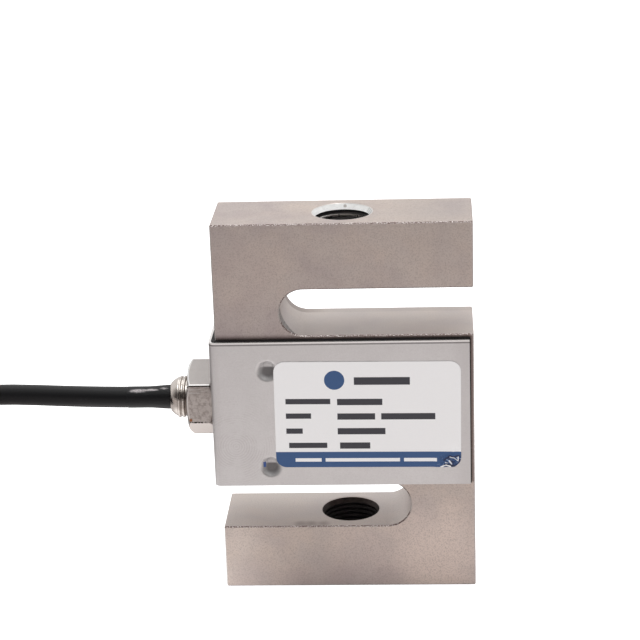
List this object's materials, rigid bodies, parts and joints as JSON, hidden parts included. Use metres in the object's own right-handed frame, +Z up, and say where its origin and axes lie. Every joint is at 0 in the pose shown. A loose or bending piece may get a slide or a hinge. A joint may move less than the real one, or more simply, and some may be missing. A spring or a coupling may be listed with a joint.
{
  "type": "s type load cell",
  "caption": "S-shaped steel load cell with threaded load holes in both arms, a folded sheet cover round its gauged middle, and a long cable from a side gland.",
  "frame": {"origin": "on the load axis, at the mouth of the lower threaded hole in the beam's underside", "axes": "+Z up along the load axis, +X along the arms away from the gland, +Y to the back; the label faces -Y"},
  "size_m": [0.3001, 0.0639, 0.1154],
  "materials": {
    "nickelled_steel": "fine satin nickel over milled steel, with a dark speckle",
    "cover_steel": "satin stainless sheet with faint arc brushing",
    "sealant": "black silicone sealant",
    "label_film": "printed white film with a blue band",
    "gland_metal": "nickel-plated brass, handled",
    "seal_rubber": "black rubber",
    "jacket": "black PVC jacket, semi-matte",
    "tie_nylon": "black nylon",
    "insulation_red": "red PVC",
    "insulation_green": "green PVC",
    "insulation_white": "white PVC",
    "insulation_black": "black PVC",
    "tinned_copper": "tinned copper strands",
    "gauge_film": "amber polyimide film with a foil grid",
    "coating": "clear to white silicone coating",
    "pad_foam": "adhesive pad",
    "board": "green laminate with tinned pads",
    "resistor": "lacquered body",
    "enamelled_copper": "enamelled copper wire"
  },
  "bodies": {
    "root": {"beam_body": "nickelled_steel", "wrap_cover": "cover_steel", "cover_seal": "sealant", "label_plate": "label_film", "gland_bushing": "gland_metal", "gland_lock_nut": "gland_metal", "gland_seal": "seal_rubber", "cable": "jacket", "cable_hank": "jacket", "cable_tie": "tie_nylon", "core_red": "insulation_red", "core_green": "insulation_green", "core_white": "insulation_white", "core_black": "insulation_black", "core_tips": "tinned_copper", "shield_drain": "tinned_copper", "strain_gauge_front": "gauge_film", "strain_gauge_rear": "gauge_film", "gauge_coating_front": "coating", "gauge_coating_rear": "coating", "board_pad": "pad_foam", "terminal_board": "board", "trim_resistors": "resistor", "lead_red": "insulation_red", "lead_green": "insulation_green", "lead_white": "insulation_white", "lead_black": "insulation_black", "bridge_wires": "enamelled_copper"}
  },
  "joints": []
}
